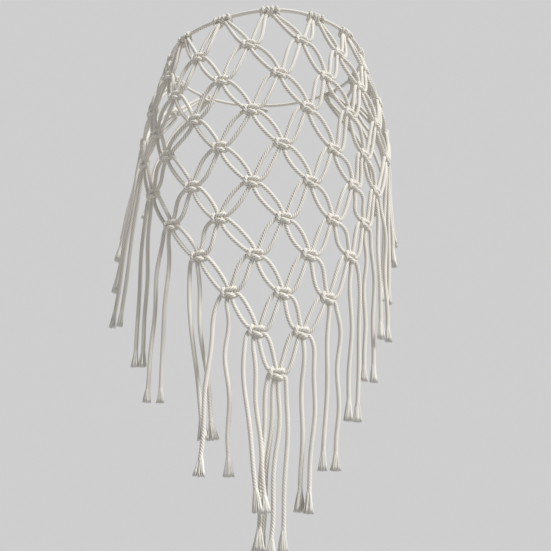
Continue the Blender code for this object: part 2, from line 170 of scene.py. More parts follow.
RIGHT_FRINGE = [
    Fringe(length=0.172, inner_drift=0.020, outer_drift=0.024, inner_off=0.016, outer_off=0.018),
    Fringe(length=0.162, inner_drift=0.007, outer_drift=0.009, inner_off=0.011, outer_off=0.015),
    Fringe(length=0.168, inner_drift=0.011, outer_drift=0.012, inner_off=0.006, outer_off=0.010),
    Fringe(length=0.156, inner_drift=0.019, outer_drift=0.020, inner_off=-0.002, outer_off=0.002),
    Fringe(length=0.164, inner_drift=-0.022, outer_drift=-0.014, inner_off=-0.008, outer_off=-0.006),
    Fringe(length=0.157, inner_drift=-0.010, outer_drift=-0.008, inner_off=0.005, outer_off=0.006),
    Fringe(length=0.158, inner_drift=-0.008, outer_drift=-0.002, inner_off=-0.003, outer_off=-0.003),
    Fringe(length=0.157, inner_drift=-0.008, outer_drift=-0.006, inner_off=-0.002, outer_off=-0.002),
    Fringe(length=0.156, inner_drift=-0.010, outer_drift=-0.005, inner_off=-0.002, outer_off=-0.002),
    Fringe(length=0.156, inner_drift=-0.005, outer_drift=-0.008, inner_off=-0.002, outer_off=0.006),
]
OUTER_LONGER = 0.0045

# The four cords of the last knot.
TIP_LENGTH = 0.153
TIP_DRIFTS = {
    "lower_left": -0.008,
    "bottom_left": -0.011,
    "bottom_right": -0.008,
    "lower_right": -0.004,
}
TIP_OFFS = {"lower_left": 0.0, "bottom_left": -0.007, "bottom_right": 0.0, "lower_right": 0.0}

# How a free cord leaves its knot: the way that it sets off, as (outwards, up), how far it keeps
# it, and how much of its fall it ends straight.
FRINGE_ROOT = 0.0035
FRINGE_HANDLE = 0.012
FRINGE_TAIL = 0.3
INNER_WAY = (0.1, -1.0)
OUTER_WAY = (0.8, -0.7)
TIP_OUTER_WAY = (0.3, -1.0)
HEAD_FRINGE_WAY = (0.6, -1.0)
FRINGE_STEPS = 60

# The brushes of loose yarns at the ends of the fringe, and at the tails of the waist cord, in
# metres: how long, how wide and how deep they are. Lengths and widths vary by this share.
FRAY_LENGTH = 0.018
FRAY_WIDTH = 0.0108
FRAY_DEPTH = 0.0070
TAIL_FRAY_LENGTH = 0.007
TAIL_FRAY_WIDTH = 0.0075
TAIL_FRAY_DEPTH = 0.0065
FRAY_VARIES = 0.22

# The yarns of a brush. The cord's core thins towards the end within it. The first yarns start
# inside the cord, at this share of its thickness from the middle. Each has its radius at its
# root and tip. They untwist by a part of a turn, open in a curve, curl a little and end at
# nearly one length, the inner ones shorter.
CORE_THINS = 0.6
ROOT_RINGS = 3
YARNS = 90
YARN_STEPS = 7
YARN_STEPS_GROW = 1.3
YARN_ROOT = 0.00040
YARN_TIP = 0.00043
YARN_START = 0.40
YARN_ANGLES_VARY = 0.25
YARN_LENGTHS = (0.94, 1.0)
INNER_SHORTER = 0.05
OPENS_LATE = 1.3
YARN_CURL = 0.0005
CURL_ANGLE = 3.5
UNTWISTS = 0.32
UNTWISTS_BY = 0.38
# Each loose yarn is darkened by a random tone, up to this share.
MOST_YARN_SHADE = 0.3
GOLDEN_TURN = math.pi * (3 - math.sqrt(5))
TRIANGLE = 2 * math.pi * np.arange(3) / 3

# Hand-tied unevenness: how much a strand's slack varies, how far it lifts off the form, and how
# far a knot leans by chance, in radians.
SEED = 7
SLACK_VARIES = 0.20
STRAND_LIFTS = 0.0012
KNOT_LEANS = 0.09
# The knots lean down to the right, more so on the right side.
LEAN_IN_MIDDLE = -0.12
LEAN_GROWS = -1.8
MOST_LEAN = -0.38
LEAST_LEAN = 0.05

# How the fringe waves on its way down: how far at most, the least share of that, how many
# times, where the waves have died down, how soon they grow, and their share outwards.
WAVE = 0.0022
LEAST_WAVE = 0.4
WAVES_DOWN = (1.4, 2.6)
WAVES_END = 1.15
WAVES_GROW = 0.7
WAVES_OUT = 0.6

# The square knot before it is pulled tight, in millimetres, as (across, up, out): the cord
# that crosses in front from the left. The one from the right is its mirror behind. Two cords
# run straight down between them.
FRONT_CORD = [
    (-10.6, 3.4, 0), (-8.1, 1.95, 0), (-6.0, 1.8, -0.7), (-3.4, 2.1, 1.8), (0, 2.8, 4.0),
    (3.4, 3.4, 3.0), (5.8, 3.3, 0.0), (7.0, 1.9, -2.4), (7.2, 0, -3.1), (7.0, -1.9, -2.4),
    (5.8, -3.3, 0.0), (3.4, -3.4, 3.0), (0, -2.8, 4.0), (-3.4, -2.1, 1.8), (-6.0, -1.8, -0.7),
    (-8.1, -1.95, 0), (-10.7, -3.3, 0),
]
MIDDLE_CORD = [(-2.95, 9.0, 0), (-2.2, 6.0, 0), (-2.0, 0, 0), (-2.2, -6.0, 0), (-2.95, -9.0, 0)]

# A lark's head hitch before it is pulled tight, as (along the waist, up, out): one leg goes up
# behind the waist cord, over it, down in front, and under it again to the middle of the bar,
# which crosses behind both legs. Two hitches sit side by side in each head.
HITCH_PATH = [
    (-3.2, -13.0, 1.6), (-2.6, -10.0, 1.5), (-2.2, -7.4, 0.6), (-2.0, -5.4, -1.6),
    (-2.1, -3.0, -3.8), (-2.2, 0, -4.4), (-2.3, 3.0, -3.3), (-2.3, 4.3, 0), (-2.3, 3.2, 3.1),
    (-2.5, 0, 4.4), (-3.3, -3.0, 3.6), (-4.2, -5.2, 0.6), (-3.9, -6.0, -2.6),
    (-2.2, -6.6, -4.6), (0, -6.8, -5.0),
]
HITCH_SHIFT = 5.1
HITCH_LOW = -6.85

# The reef knot at the back: a cord that comes round the waist, turns in the other's loop and
# leaves a short tail.
REEF_CORD = [
    (-16.0, 0, 0), (-12.0, 0.4, 0), (-7.5, 1.7, -0.4), (-3.4, 2.4, 1.2), (0, 2.7, 2.2),
    (3.4, 2.6, 1.2), (5.2, 1.6, -1.6), (5.5, 0, -2.4), (5.2, -1.6, -1.6), (3.4, -2.6, 1.2),
    (0, -2.7, 2.2), (-3.4, -2.4, 1.2), (-7.5, -2.2, -0.4), (-11.0, -4.4, 0.4), (-14.5, -9.0, 0.8),
]

# The points along the waist cord between the two sides of its knot.
WAIST_STEPS = 300

# How a knot is pulled tight, in millimetres: the spacing of the points along its cords, how many
# times it is pulled, how near the middles of two pressed cords lie, how much each pull draws a
# point between its neighbours and pushes it off a cord, and how many neighbours on its own cord
# don't press on it. The waist cord runs straight through a hitch.
KNOT_SPACING = 1.2
PULLS = 220
PRESSED = 3.1
DRAWN = 0.22
PUSHED = 0.55
OWN_NEIGHBOURS = 5
LEAST_DISTANCE = 0.001
WAIST_IN_HITCH = np.array([(along, 0.0, 0.0) for along in np.arange(-16.0, 16.5, 1.0)])

# How many times the corners of a cord's line are rounded.
ROUNDINGS = 3

# The camera: its picture in pixels, its sensor in millimetres, its distance from the middle of
# the waist and its height in metres, and the way that it stands and looks in degrees.
PHOTO_SIZE = 551
FOCAL_PIXELS = 616.3
SENSOR = 36.0
CAMERA_AZIMUTH = -7.46
CAMERA_DISTANCE = 0.738
CAMERA_HEIGHT = -0.447
CAMERA_YAW = -8.358
CAMERA_PITCH = 12.48
CAMERA_ROLL = 0.207

# The colours of the cotton: its plies, the painted shade in the grooves between them and its loose
# yarns.
COTTON_LIGHT = (0.87, 0.845, 0.78)
# Painted shade: the grooves between the plies are darkened towards this colour. Each loose yarn
# leans to it by a random tone of its own.
COTTON_GROOVE_SHADE = (0.42, 0.36, 0.28)
# The loose yarns are paler than the plies: painted light that makes up for the shade among the
# yarns.
FIBRE_WITH_PAINTED_LIGHT = (0.93, 0.91, 0.85)

# The finishes: the colour of each, and how strongly its painted groove shade, fibres and mottle
# show.
Finish = namedtuple("Finish", "name light groove_strength fibre_contrast mottle")
# The loose yarns, in their paler colour of painted light.
FRAYED = Finish("frayed_cotton", FIBRE_WITH_PAINTED_LIGHT, 0.55, 0.10, 0.10)
FINISHES = {
    "waist_cord": Finish("waist_cotton", COTTON_LIGHT, 0.75, 0.16, 0.14),
    "heads": Finish("hitch_cotton", COTTON_LIGHT, 0.80, 0.16, 0.12),
    "net": Finish("net_cotton", COTTON_LIGHT, 0.75, 0.16, 0.14),
    "fringe": Finish("fringe_cotton", COTTON_LIGHT, 0.75, 0.16, 0.14),
}

# The studio: a wide floor whose tone in this light is that of the air behind it, so that no
# line shows between them, and one large soft light from the front, right and above.
STAGE_WHITE = (0.533, 0.533, 0.533)
FLOOR_HEIGHT = -1.0
FLOOR_RADIUS = 60.0
FLOOR_CORNERS = 96
STUDIO_LIGHT = 0.26
STUDIO_TONE = 0.62
KEY_FROM = Vector((0.62, -0.50, 0.95))
KEY_STRENGTH = 3.7
KEY_SOFTNESS = 14.0

# The pieces that stand for a node of another name, and their material slots.
PIECES = {
    "waist_cord": ("twisted_waist_cord", "waist_cord"),
    "back_tie": ("reef_knot", "waist_cord"),
    "net_left": ("net_cords_left", "net"),
    "net_right": ("net_cords_right", "net"),
}

chance = np.random.default_rng(SEED)


def half_sizes(height):
    """Half width and half depth of the form at this height."""
    swell = math.sin(min(max(-height / HIP_DROP, 0.0), 1.0) * math.pi / 2)
    flare = FLARE * max(-height - HIP_DROP, 0.0)
    return (
        WAIST_HALF_WIDTH + (HIP_HALF_WIDTH - WAIST_HALF_WIDTH) * swell + flare,
        WAIST_HALF_DEPTH + (HIP_HALF_DEPTH - WAIST_HALF_DEPTH) * swell + flare,
    )


def run_round(half_width, half_depth):
    """The distance round an ellipse from the middle of its front, at each of ANGLES."""
    steps = np.hypot(np.diff(half_width * np.sin(ANGLES)), np.diff(half_depth * np.cos(ANGLES)))
    run = np.concatenate(([0.0], np.cumsum(steps)))
    return run - run[len(run) // 2]


def on_form(along, height, off=0.0):
    """The point of the form at this place of the flat drawing, moved outwards by off."""
    half_width, half_depth = half_sizes(height)
    angle = float(np.interp(along, run_round(half_width, half_depth), ANGLES))
    outward = np.array((math.sin(angle) / half_width, -math.cos(angle) / half_depth, 0.0))
    place = np.array((half_width * math.sin(angle), -half_depth * math.cos(angle), height))
    return place + outward * (off / math.hypot(*outward[:2]))


def front_rise(along):
    """How far the waist cord rises where it crosses the rounded front."""
    return FRONT_RISE * math.exp(-((along / RISE_SPREAD) ** 2))


def waist_height(along):
    """The height of the waist cord at this place round it."""
    return ROWS[0].tilt * on_form(along, 0.0)[0] + front_rise(along)


def waist_point(along):
    """A point of the waist cord. Past the middle of the back it comes round again."""
    half = HALF_GIRTH
    along = (along + half) % (2 * half) - half
    return on_form(along, waist_height(along))


HALF_GIRTH = float(run_round(WAIST_HALF_WIDTH, WAIST_HALF_DEPTH)[-1])


def indices(row):
    """The knots of a row by their distance from the middle, in steps from knot to knot."""
    count = HEADS - row
    return [number - (count - 1) / 2 for number in range(count)]


def knot_place(row, index):
    """Where a knot, or a head, is in the flat drawing."""
    drop, pitch, slip, tilt = ROWS[row]
    along = slip + pitch * index
    along += FRONT_PUSH * math.exp(-((along / FRONT_SPREAD) ** 2))
    lift = SIDE_LIFT * along**2 + BACK_LIFT * max(abs(along) - BACK_STARTS, 0.0) ** 2
    lifted = min(row / ROWS_TO_FULL_LIFT, 1.0)
    height = -drop + tilt * on_form(along, -drop)[0] + lift * lifted
    height += front_rise(along) * (1 - lifted)
    return np.array((along, height)) + NUDGES.get((row, index), (0.0, 0.0))


def unit(way):
    """The same way, one unit long."""
    way = np.array(way, dtype=float)
    return way / np.linalg.norm(way)


def bend(start, start_handle, end, end_handle, steps):
    """Points along a cubic curve, both ends included."""
    t = np.linspace(0.0, 1.0, steps + 1)[:, None]
    after, before = start + start_handle, end - end_handle
    back = 1 - t
    return back**3 * start + 3 * t * back**2 * after + 3 * t**2 * back * before + t**3 * end


def even(points, step):
    """The same line with its points this far apart, and how far along it each one is."""
    run = np.concatenate(([0.0], np.cumsum(np.linalg.norm(np.diff(points, axis=0), axis=1))))
    places = np.linspace(0.0, run[-1], max(int(round(run[-1] / step)), 2) + 1)
    return np.stack([np.interp(places, run, axis) for axis in points.T], axis=1), places


def smooth(points, passes):
    """Rounds the corners of a line and keeps its ends."""
    for _ in range(passes):
        points[1:-1] = (points[:-2] + 2 * points[1:-1] + points[2:]) / 4
    return points


def settle(paths, still=None):
    """Pulls the cords of a knot tight: each point is drawn between its neighbours, and cords
    that press into one another are pushed apart. The ends of the paths stay."""
    evened = [even(np.array(path, dtype=float), KNOT_SPACING)[0] for path in paths]
    cords = [smooth(line, ROUNDINGS) for line in evened]
    sizes = [len(cord) for cord in cords]
    points = np.concatenate(cords + ([] if still is None else [still]))
    number = np.repeat(range(len(cords)), sizes)
    place = np.concatenate([np.arange(size) for size in sizes])
    count = len(place)
    free = (place > 1) & (place < np.array(sizes)[number] - 2)
    near = np.zeros((count, len(points)), dtype=bool)
    near[:, :count] = (number[:, None] == number) & (
        np.abs(place[:, None] - place) <= OWN_NEIGHBOURS
    )
    inner = np.flatnonzero(free)
    for _ in range(PULLS):
        apart = points[:count, None] - points
        distance = np.linalg.norm(apart, axis=2) + near * PRESSED * 2
        press = np.clip(PRESSED - distance, 0.0, None)
        push = (apart * (press / np.maximum(distance, LEAST_DISTANCE))[..., None]).sum(axis=1)
        touching = np.maximum((press > 0).sum(axis=1), 1)[:, None]
        middle = (points[inner - 1] + points[inner + 1]) / 2
        drawn = DRAWN * (middle - points[inner])
        points[inner] += drawn + PUSHED * (push / touching)[inner]
    edges = np.cumsum([0] + sizes)
    return [points[a:b] for a, b in zip(edges[:-1], edges[1:])]


def turned(path):
    """A path turned half round its upright axis."""
    return [(-across, up, -out) for across, up, out in path]


def cut_to_mouths(line, path):
    """Drops the two guides that hold a settled line outside its mouths."""
    start = np.argmin(np.linalg.norm(line - np.array(path[1]), axis=1))
    end = np.argmin(np.linalg.norm(line - np.array(path[-2]), axis=1))
    return line[start : end + 1] / 1000


def tie_square_knot():
    """The four cords of one square knot, from the mouth where each enters."""
    right_middle = [(-across, up, out) for across, up, out in MIDDLE_CORD]
    paths = [FRONT_CORD, turned(FRONT_CORD), MIDDLE_CORD, right_middle]
    lines = settle(paths)
    names = ("upper_left", "upper_right", "top_left", "top_right")
    return {name: cut_to_mouths(line, path) for name, line, path in zip(names, lines, paths)}


def tie_head():
    """The two hitches of a head: cords folded in half over the waist cord, side by side."""
    other = [(-along, up, out) for along, up, out in reversed(HITCH_PATH[:-1])]
    hitch = np.array(HITCH_PATH + other)
    shift = np.array((HITCH_SHIFT, 0.0, 0.0))
    tied = []
    for line in settle([hitch - shift, hitch + shift], WAIST_IN_HITCH):
        kept = np.flatnonzero(line[:, 1] > HITCH_LOW)
        tied.append(line[kept[0] : kept[-1] + 1] / 1000)
    return {"left": tied[0], "right": tied[1]}


def tie_reef_knot():
    """The two ends of the waist cord, tied on each other."""
    first, second = settle([REEF_CORD, turned(REEF_CORD)])
    return first / 1000, second / 1000


SQUARE_KNOT = tie_square_knot()
HITCHES = tie_head()
LEGS = {
    "lower_left": HITCHES["left"][0],
    "bottom_left": HITCHES["left"][-1],
    "bottom_right": HITCHES["right"][0],
    "lower_right": HITCHES["right"][-1],
}
REEF_KNOT = tie_reef_knot()


def head_frame(index):
    """The place of a head on the waist cord, and its ways along, up and out."""
    along = knot_place(0, index)[0]
    here = waist_point(along)
    run = unit(waist_point(along + 0.001) - waist_point(along - 0.001))
    outward = unit(on_form(along, here[2], 1.0) - on_form(along, here[2]))
    up = unit(np.cross(outward, run))
    return along, up, unit(np.cross(run, up))


def on_waist(index, local):
    """Points given as (along, up, out) from a head, laid along the bend of the waist cord."""
    along, up, out = head_frame(index)
    return np.array([waist_point(along + a) + up * u + out * o for a, u, o in local])


def strand_goal(row, index, leave):
    """The knot that a strand runs down to, and the mouth that it enters."""
    side, across = (-0.5, "right") if leave.endswith("left") else (0.5, "left")
    mouth = ("top_" if leave.startswith("lower") else "upper_") + across
    return (row + 1, index + side), mouth


def lean_of(along):
    """How far the knots at this place round the form lean, in radians."""
    return min(max(LEAN_IN_MIDDLE + LEAN_GROWS * along, MOST_LEAN), LEAST_LEAN)


KNOT_LEAN = {
    (row, index): lean_of(knot_place(row, index)[0]) + chance.uniform(-KNOT_LEANS, KNOT_LEANS)
    for row in range(1, HEADS)
    for index in indices(row)
}


def in_knot(knot, across, up):
    """A place of a knot in the flat drawing, with the lean that its tying left."""
    lean = KNOT_LEAN[knot]
    turn = np.array(((math.cos(lean), -math.sin(lean)), (math.sin(lean), math.cos(lean))))
    return knot_place(*knot) + turn @ np.array((across, up))


def leg_start(index, leave):
    """Where a leg of a head's hitches starts down in the flat drawing."""
    side = -1 if leave.endswith("left") else 1
    shift, low, _ = LEGS[leave]
    along = knot_place(0, index)[0] + shift
    return np.array((along, waist_height(along) + low)), (side * HEAD_CORD_LEAN, -1.0)


def start_of(row, index, leave):
    """Where a strand leaves a knot or a head, and the way that it sets off."""
    if row == 0:
        return leg_start(index, leave)
    mouth = MOUTHS[leave]
    return in_knot((row, index), mouth.across, mouth.up), mouth.way


def lay(flat, off):
    """Points of the flat drawing laid on the form."""
    return np.array([on_form(along, height, o) for (along, height), o in zip(flat, off)])


def strand_line(row, index, leave, below, enter):
    """A strand from a knot or head to the knot below it, with a little slack of its own."""
    start, way = start_of(row, index, leave)
    mouth = MOUTHS[enter]
    end = in_knot(below, mouth.across, mouth.up)
    handle = SLACK_HANDLE if leave.endswith("right") and row > 0 else STRAND_HANDLE
    slack = handle * chance.uniform(1 - SLACK_VARIES, 1 + SLACK_VARIES)
    slack *= min(ROWS[below[0]].pitch / FULL_PITCH, 1.0)
    inwards = start[0] if leave.endswith("left") else -start[0]
    slack *= min(max(1 - SLACK_FALLS * inwards, LEAST_SLACK), MOST_SLACK)
    flat = bend(start, unit(way) * slack, end, unit(mouth.way) * slack, STRAND_STEPS)
    rise = chance.uniform(0.0, STRAND_LIFTS) * np.sin(np.linspace(0, math.pi, len(flat)))
    leg = LEGS[leave][2] if row == 0 else 0.0
    return lay(flat, rise + leg * np.linspace(1.0, 0.0, len(flat)))


def knot_line(knot, enter):
    """The way of one cord through a square knot."""
    local = SQUARE_KNOT[enter]
    flat = [in_knot(knot, across, up) for across, up, _ in local]
    return lay(flat, local[:, 2])


def fringe_of(row, leave):
    """The name of the tuft that a free cord belongs to, and how the cord hangs."""
    if row == HEADS - 1:
        way = TIP_OUTER_WAY if leave.startswith("lower") else INNER_WAY
        return "fringe_tip", way, TIP_LENGTH, TIP_DRIFTS[leave], TIP_OFFS[leave]
    side, table = ("left", LEFT_FRINGE) if leave.endswith("left") else ("right", RIGHT_FRINGE)
    fringe = table[row]
    name = f"fringe_{side}_{row + 1:02d}"
    if leave.startswith("lower"):
        way = HEAD_FRINGE_WAY if row == 0 else OUTER_WAY
        length = fringe.length + OUTER_LONGER
        return name, way, length, fringe.outer_drift, fringe.outer_off
    way = HEAD_FRINGE_WAY if row == 0 else INNER_WAY
    return name, way, fringe.length, fringe.inner_drift, fringe.inner_off


def fringe_line(row, index, leave):
    """A free cord from its knot or head to its frayed end."""
    name, lean, length, drift, off = fringe_of(row, leave)
    start, _ = start_of(row, index, leave)
    side = -1 if leave.endswith("left") else 1
    way = unit((side * lean[0], lean[1]))
    fall = np.array((drift, -length))
    end = start + way * FRINGE_ROOT + fall
    handle = way * (FRINGE_ROOT + FRINGE_HANDLE)
    flat = bend(start, handle, end, fall * FRINGE_TAIL, FRINGE_STEPS)
    t = np.linspace(0.0, 1.0, len(flat))
    phase, waves = chance.uniform(0, 2 * math.pi, 2), chance.uniform(*WAVES_DOWN, 2)
    grown = np.sin(math.pi * np.minimum(t * WAVES_END, 1.0)) ** WAVES_GROW
    size = WAVE * chance.uniform(LEAST_WAVE, 1.0) * grown
    flat[:, 0] += size * np.sin(2 * math.pi * waves[0] * t + phase[0])
    leg = LEGS[leave][2] * (1 - t) if row == 0 else 0.0
    out = off * t + size * np.sin(2 * math.pi * waves[1] * t + phase[1]) * WAVES_OUT
    return name, lay(flat, out + leg)


class Route:
    """The centre line of one cord, and the node that each stretch of it stands for."""

    def __init__(self):
        self.stretches = []

    def add(self, node, points):
        """Carries the cord on along these points."""
        self.stretches.append((node, points))

    def backwards(self):
        """The same cord from its other end."""
        turned_route = Route()
        for node, points in reversed(self.stretches):
            turned_route.add(node, points[::-1])
        return turned_route

    def then(self, other):
        """This stretch of cord and another that goes on from its end."""
        joined = Route()
        joined.stretches = self.stretches + other.stretches
        return joined

    def line(self):
        """Even points along the whole cord, and the node of each."""
        points = np.concatenate([points for _, points in self.stretches])
        apart = np.linalg.norm(np.diff(points, axis=0), axis=1)
        keep = np.concatenate(([True], apart > 1e-6))
        run = np.concatenate(([0.0], np.cumsum(apart)))
        ends = run[np.cumsum([len(points) for _, points in self.stretches]) - 1]
        centres, places = even(points[keep], RING_SPACING)
        owner = np.searchsorted(ends, places - 1e-9)
        nodes = [self.stretches[min(n, len(self.stretches) - 1)][0] for n in owner]
        return smooth(centres, ROUNDINGS), places, nodes


def hang_down(index, leave):
    """The route of one leg from its head to its free end."""
    route = Route()
    row = 0
    while True:
        below, enter = strand_goal(row, index, leave)
        if below[1] not in indices(below[0]):
            route.add(*fringe_line(row, index, leave))
            return route
        left = max(index, below[1]) <= 0
        strand = strand_line(row, index, leave, below, enter)
        route.add("net_left" if left else "net_right", strand)
        route.add("net_left" if below[1] <= 0 else "net_right", knot_line(below, enter))
        row, index = below
        leave = THROUGH[enter]


def folded_cord(number, index, side):
    """One cord from its free end up to the waist cord, round it and down to its other end."""
    outer, inner = f"lower_{side}", f"bottom_{side}"
    first, second = (outer, inner) if side == "left" else (inner, outer)
    hitch = Route()
    hitch.add(f"head_{number:02d}", on_waist(index, HITCHES[side]))
    return hang_down(index, first).backwards().then(hitch).then(hang_down(index, second))


def waist_route():
    """The waist cord, from one tail of its reef knot right round to the other."""
    def at_back(local):
        up = np.array((0.0, 0.0, 1.0))
        out = np.array((0.0, 1.0, 0.0))
        return np.array([waist_point(HALF_GIRTH + a) + up * u + out * o for a, u, o in local])

    arriving, leaving = REEF_KNOT
    route = Route()
    route.add("back_tie", at_back(leaving[::-1]))
    first, last = leaving[0][0] - HALF_GIRTH, HALF_GIRTH + arriving[0][0]
    around = np.linspace(first, last, WAIST_STEPS)[1:-1]
    route.add("waist_cord", np.array([waist_point(along) for along in around]))
    route.add("back_tie", at_back(arriving))
    return route


class Piece:
    """The mesh of one finished piece: tubes of cord and of fibre, closed at their ends."""

    def __init__(self):
        self.points = []
        self.space = []
        self.groove = []
        self.faces = []
        self.finish = []
        self.rounded = []
        self.count = 0

    def tube(self, rings, space, groove, finish):
        """Adds a tube through these rings, closed at both ends. rings is (number, sides, 3)."""
        number, sides = rings.shape[:2]
        here = self.count + np.arange(number * sides).reshape(number, sides)
        after = np.roll(here, -1, axis=1)
        quads = np.stack((here[:-1], after[:-1], after[1:], here[1:]), axis=-1).reshape(-1, 4)
        self.points.append(rings.reshape(-1, 3))
        self.space.append(space.reshape(-1, 3))
        # How much painted groove shade each point takes, or the random tone of a yarn.
        self.groove.append(groove.reshape(-1))
        self.faces += quads.tolist() + [here[0, ::-1].tolist(), here[-1].tolist()]
        self.finish += [finish] * (len(quads) + 2)
        self.rounded += [True] * len(quads) + [False] * 2
        self.count += number * sides

    def build(self, name, materials):
        """The object of this piece. The tubes are smooth and their ends flat."""
        mesh = bpy.data.meshes.new(name)
        mesh.from_pydata(np.concatenate(self.points).tolist(), [], self.faces)
        mesh.polygons.foreach_set("material_index", self.finish)
        space = mesh.attributes.new("cord_space", "FLOAT_VECTOR", "POINT")
        space.data.foreach_set("vector", np.concatenate(self.space).astype("f").ravel())
        # The painted shade of the grooves, and the random tone of each yarn.
        groove = mesh.attributes.new("groove", "FLOAT", "POINT")
        groove.data.foreach_set("value", np.concatenate(self.groove).astype("f"))
        mesh.polygons.foreach_set("use_smooth", self.rounded)
        made = bpy.data.objects.new(name, mesh)
        bpy.context.scene.collection.objects.link(made)
        for material in materials:
            mesh.materials.append(material)
        return made


def section():
    """A cord's outline: for each ply the groove before it and its two shoulders, and how much
    painted groove shade each point takes.
    """
    turns, radii, groove_shades = [], [], []
    for ply in range(PLIES):
        for part, depth in PLY_OUTLINE:
            turns.append(2 * math.pi * (ply + part) / PLIES)
            radii.append(CORD / 2 * FULLNESS * (1 - GROOVE_DEPTH * depth))
            groove_shades.append(depth)
    return np.array(turns), np.array(radii), np.array(groove_shades)


TURNS, RADII, GROOVE_SHADES = section()


def carried_frames(centres):
    """The way along a line at each point, and two ways square to it that don't spin."""
    ways = np.gradient(centres, axis=0)
    ways /= np.linalg.norm(ways, axis=1)[:, None]
    side = unit(np.cross(ways[0], (0.3, 0.5, 0.8)))
    sides = []
    for way in ways:
        side = unit(side - way * (side @ way))
        sides.append(side)
    sides = np.array(sides)
    return ways, sides, np.cross(ways, sides)


def twist(centres, places, thickness):
    """Rings of twisted cord round a line, where each point is within the cord, and how much painted
    groove shade it takes.
    """
    _, sides, ups = carried_frames(centres)
    spin = TURNS - 2 * math.pi * places[:, None] / LAY
    reach = RADII * thickness[:, None]
    rings = (
        centres[:, None]
        + (reach * np.cos(spin))[..., None] * sides[:, None]
        + (reach * np.sin(spin))[..., None] * ups[:, None]
    )
    space = np.empty(rings.shape)
    space[..., 0] = CORD / 2 * np.cos(TURNS)
    space[..., 1] = CORD / 2 * np.sin(TURNS)
    space[..., 2] = places[:, None]
    groove = np.broadcast_to(GROOVE_SHADES, rings.shape[:2])
    return rings, space, groove


def fray(piece, centres, width, depth):
    """The brush of loose yarns at a cord's end. centres runs from inside the cord to the end
    of the longest yarn."""
    ways = np.gradient(centres, axis=0)
    ways /= np.linalg.norm(ways, axis=1)[:, None]
    outward = np.array((centres[-1][0] / WAIST_HALF_WIDTH, centres[-1][1] / WAIST_HALF_DEPTH, 0.0))
    across = unit(np.cross(ways[-1], outward))
    deep = unit(np.cross(across, ways[-1]))
    t = np.linspace(0.0, 1.0, YARN_STEPS) ** YARN_STEPS_GROW
    root = CORD * YARN_START
    untwisted = 2 * math.pi * UNTWISTS * (1 - (1 - np.minimum(t / UNTWISTS_BY, 1.0)) ** 2)
    for yarn in range(YARNS):
        aside = chance.uniform(-YARN_ANGLES_VARY, YARN_ANGLES_VARY)
        angle = GOLDEN_TURN * yarn + aside + untwisted
        far = math.sqrt((yarn + 0.5) / YARNS)
        a, b = far * np.cos(angle), far * np.sin(angle)
        reach = chance.uniform(*YARN_LENGTHS) - INNER_SHORTER * (1 - far)
        place = t * reach * (len(centres) - 1)
        line = np.stack([np.interp(place, range(len(centres)), axis) for axis in centres.T], axis=1)
        opened = t**OPENS_LATE
        curl = chance.uniform(-YARN_CURL, YARN_CURL, 2)[:, None] * np.sin(CURL_ANGLE * t) * opened
        x = a * (root + (width / 2 - root) * opened) + curl[0]
        y = b * (root + (depth / 2 - root) * opened) + curl[1]
        line = line + x[:, None] * across + y[:, None] * deep
        radius = YARN_ROOT + (YARN_TIP - YARN_ROOT) * t
        turn = TRIANGLE + chance.uniform(0, 2)
        rings = (
            line[:, None]
            + (radius[:, None] * np.cos(turn))[..., None] * across
            + (radius[:, None] * np.sin(turn))[..., None] * deep
        )
        space = np.empty(rings.shape)
        space[..., 0] = a[-1] * CORD
        space[..., 1] = b[-1] * CORD
        space[..., 2] = t[:, None] * FRAY_LENGTH
        # A random darker tone for each yarn, carried like the painted groove shade of the cord.
        groove = np.full(rings.shape[:2], chance.uniform(0.0, MOST_YARN_SHADE))
        piece.tube(rings[:, ::-1], space, groove, 1)


def runs_of(nodes):
    """The first and last ring of each stretch that belongs to one node."""
    start = 0
    for n in range(1, len(nodes) + 1):
        if n == len(nodes) or nodes[n] != nodes[start]:
            yield nodes[start], start, min(n, len(nodes) - 1)
            start = n


def lay_cord(pieces, route, fray_length, width, depth):
    """Twists one cord along its route and shares it out among the pieces."""
    centres, places, nodes = route.line()
    total = places[-1]
    lengths = fray_length * chance.uniform(1 - FRAY_VARIES, 1 + FRAY_VARIES, 2)
    widths = width * chance.uniform(1 - FRAY_VARIES, 1 + FRAY_VARIES, 2)
    opened = np.clip(1 - np.minimum(places / lengths[0], (total - places) / lengths[1]), 0.0, 1.0)
    rings, space, groove = twist(centres, places, 1 - CORE_THINS * opened)
    for node, first, last in runs_of(nodes):
        piece = pieces.setdefault(node, Piece())
        one = slice(first, last + 1)
        piece.tube(rings[one], space[one], groove[one], 0)
    tails = [int(length / RING_SPACING) + ROOT_RINGS for length in lengths]
    fray(pieces[nodes[0]], centres[tails[0] :: -1], widths[0], depth)
    fray(pieces[nodes[-1]], centres[-tails[1] - 1 :], widths[1], depth)


def add_node(tree, kind, **values):
    """A new shader node with these inputs and settings."""
    node = tree.nodes.new(kind)
    for key, value in values.items():
        if key in node.inputs:
            node.inputs[key].default_value = value
        else:
            setattr(node, key, value)
    return node


def join(tree, source, target):
    """Links one socket to another."""
    tree.links.new(source, target)


